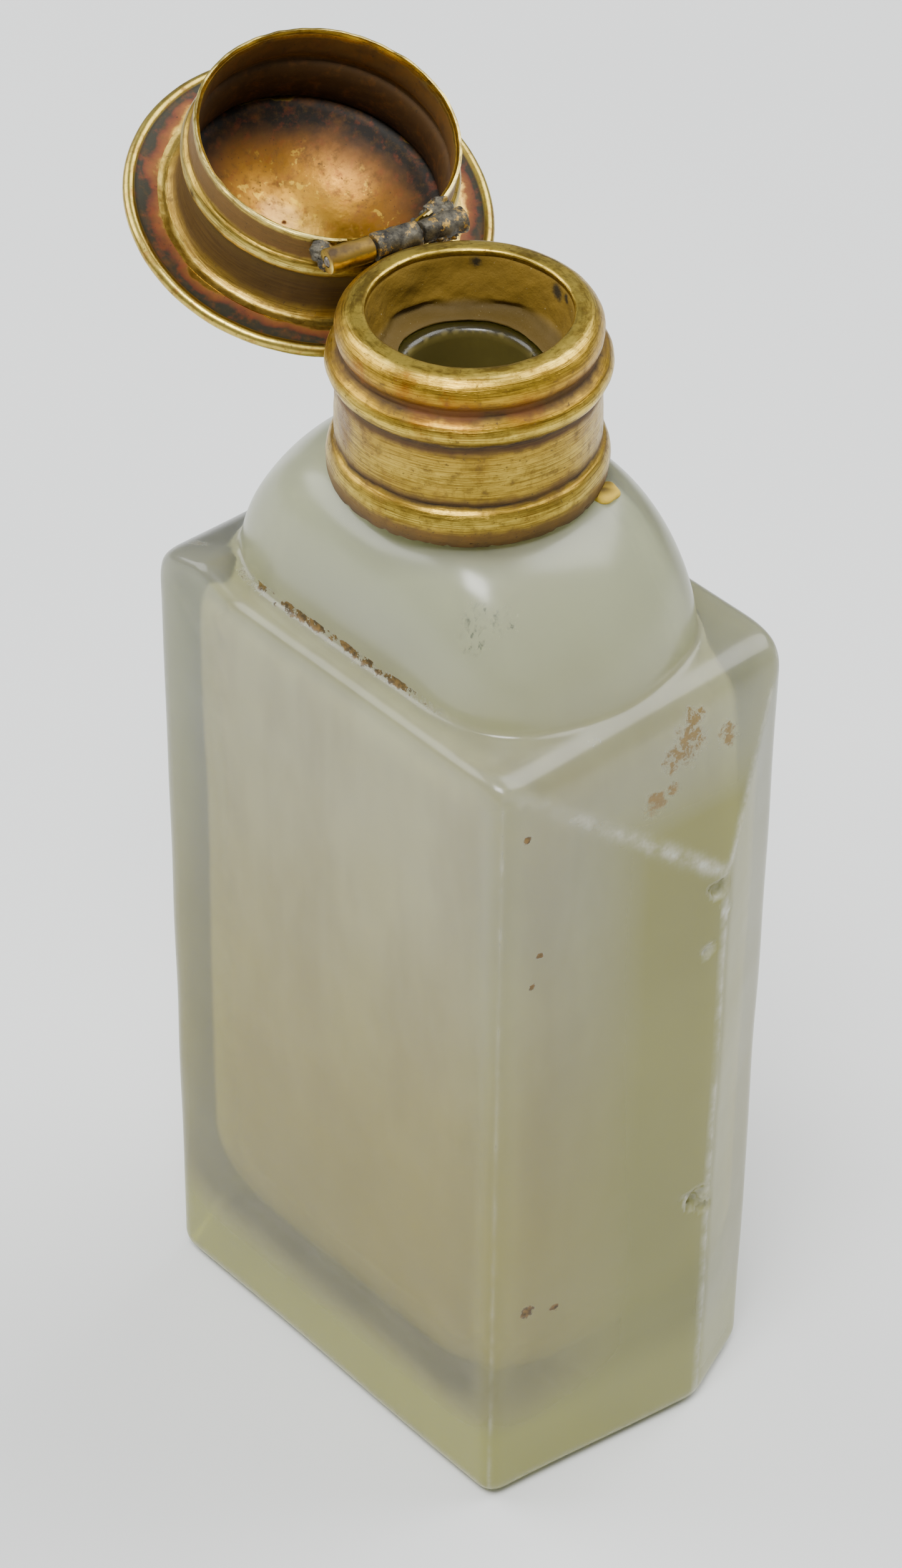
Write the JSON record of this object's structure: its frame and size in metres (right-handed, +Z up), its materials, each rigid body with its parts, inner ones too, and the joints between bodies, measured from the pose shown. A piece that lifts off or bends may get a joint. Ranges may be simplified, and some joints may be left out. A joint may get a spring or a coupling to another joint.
{
  "type": "oil bottle",
  "caption": "Flat-sided hazed glass oil bottle with a domed shoulder, a beaded brass collar and a brimmed brass lid on a three-knuckle hinge.",
  "frame": {"origin": "centre of the flat base, under the neck's axis", "axes": "+Z up along the neck, -Y out of the wide front face, the lid's hinge is at the -X end"},
  "size_m": [0.0691, 0.0385, 0.1253],
  "materials": {
    "glass": "old pressed glass, hazed white inside, pale olive where it is thick",
    "cement": null,
    "collar_brass": "worn brass, brushed round, brown in the grooves",
    "lid_brass": "worn brass, dark brown and red-brown stains, black residue near the edge",
    "hinge_brass": "worn brass tube with dark joints",
    "solder": null,
    "pin_steel": "dull grey iron wire"
  },
  "bodies": {
    "bottle": {"glass_bottle": "glass", "neck_cement": "cement", "collar": "collar_brass", "collar_knuckle": "hinge_brass", "collar_solder": "solder", "hinge_pin": "pin_steel"},
    "lid": {"lid_cover": "lid_brass", "lid_ring": "lid_brass", "lid_knuckle_front": "hinge_brass", "lid_knuckle_rear": "hinge_brass", "lid_solder_front": "solder", "lid_solder_rear": "solder"}
  },
  "joints": [
    {"name": "lid_hinge", "type": "hinge", "parent": "bottle", "child": "lid", "pos_m": [-0.0122, 0.00248, 0.1166], "axis": [-0.1994, -0.9799, 0], "range_deg": [-159, 0]}
  ]
}
